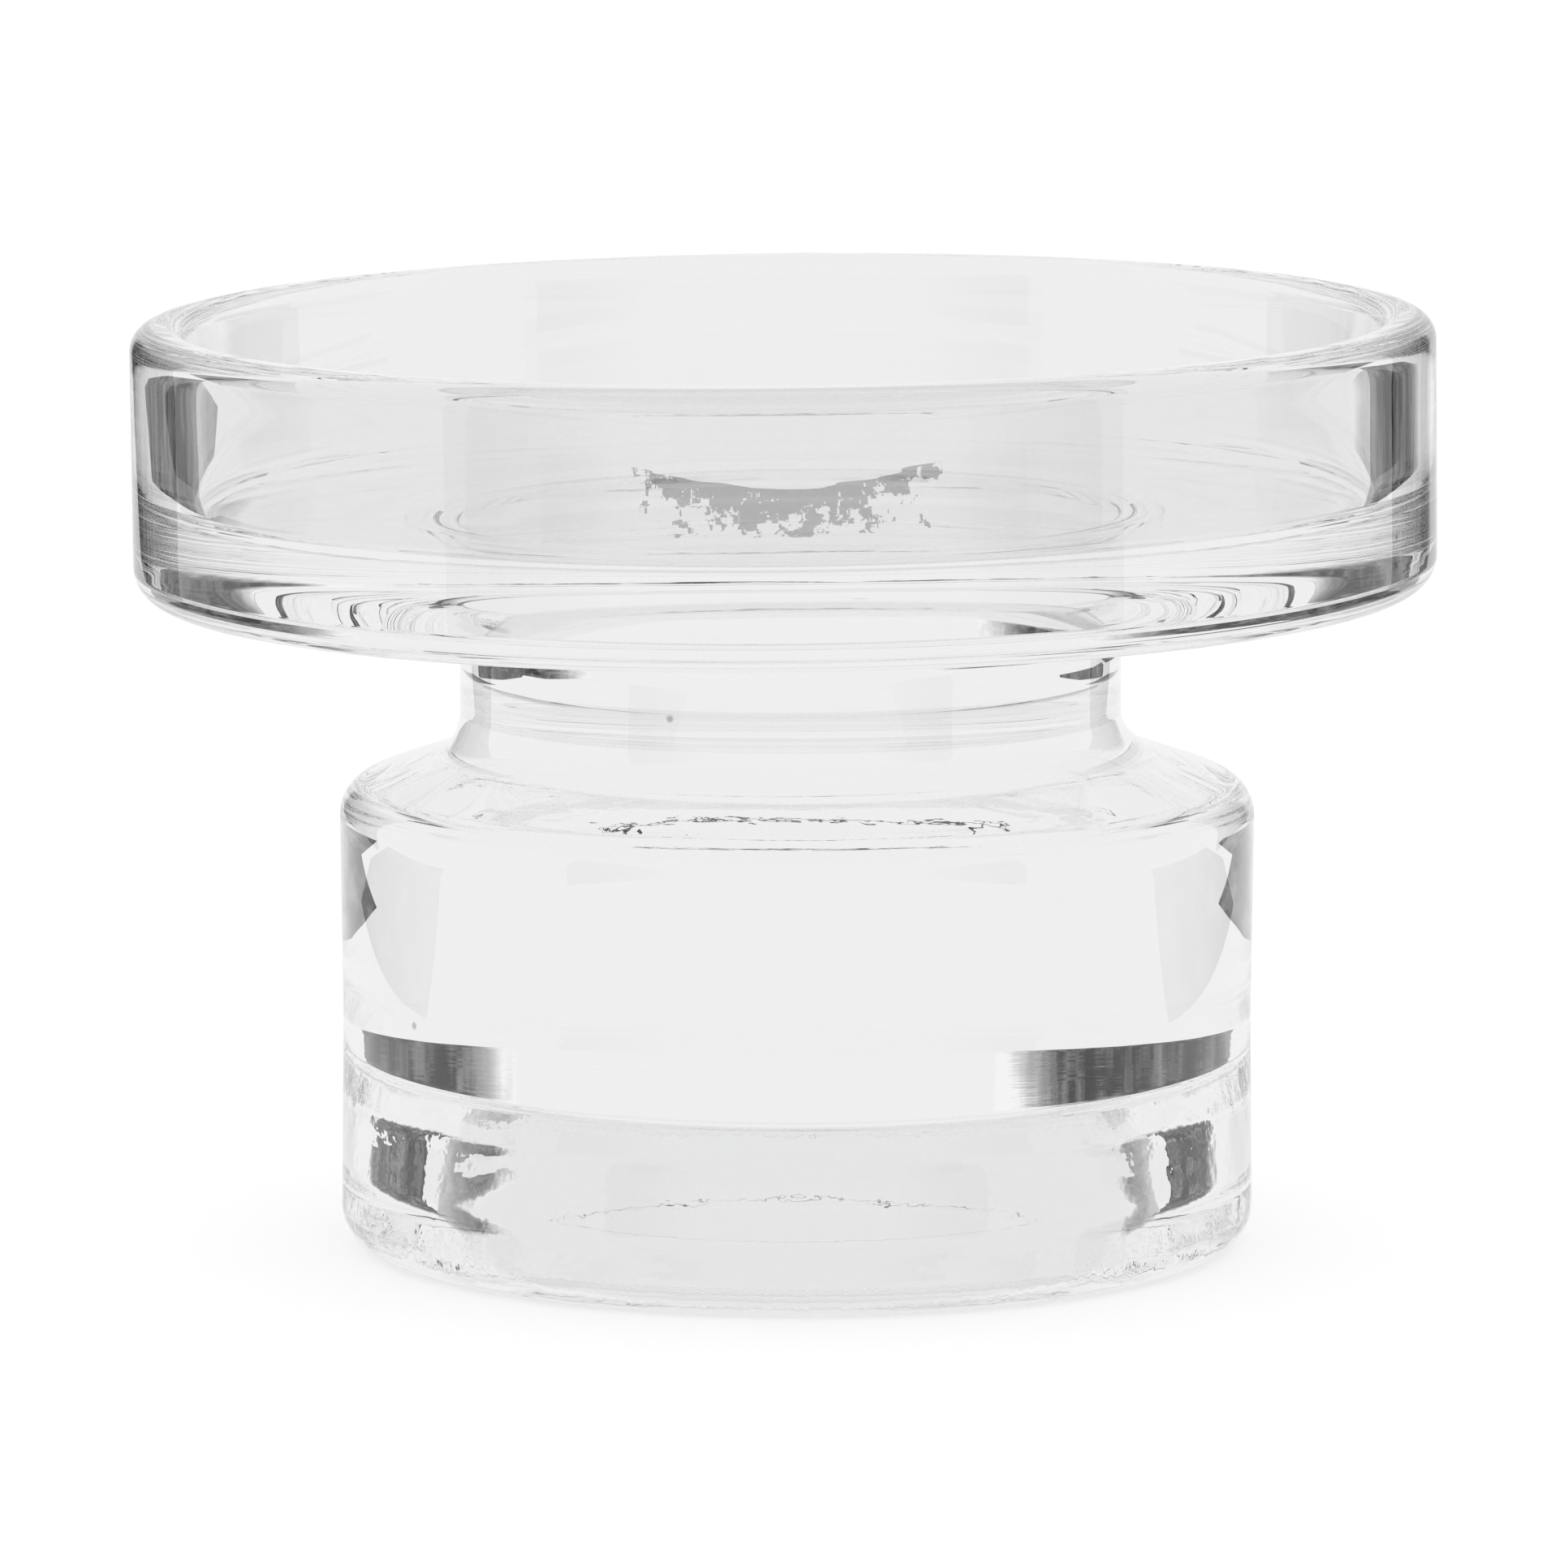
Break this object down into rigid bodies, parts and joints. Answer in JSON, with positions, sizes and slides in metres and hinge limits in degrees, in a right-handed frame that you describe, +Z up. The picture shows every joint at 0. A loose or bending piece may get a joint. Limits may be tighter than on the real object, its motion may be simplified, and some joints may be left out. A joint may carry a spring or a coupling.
{
  "type": "glass pillar candle holder",
  "caption": "Clear glass holder for a pillar candle: a wide shallow dish on a waisted drum base with a round recess underneath.",
  "frame": {"origin": "on the table, under the middle of the dish", "axes": "+Z up, the way the candle stands; -Y is the side that the picture shows; +X is to the right there"},
  "size_m": [0.1002, 0.1, 0.0721],
  "materials": {
    "clear_glass": "fire-polished clear pressed glass"
  },
  "bodies": {
    "root": {"dish": "clear_glass", "base": "clear_glass"}
  },
  "joints": []
}
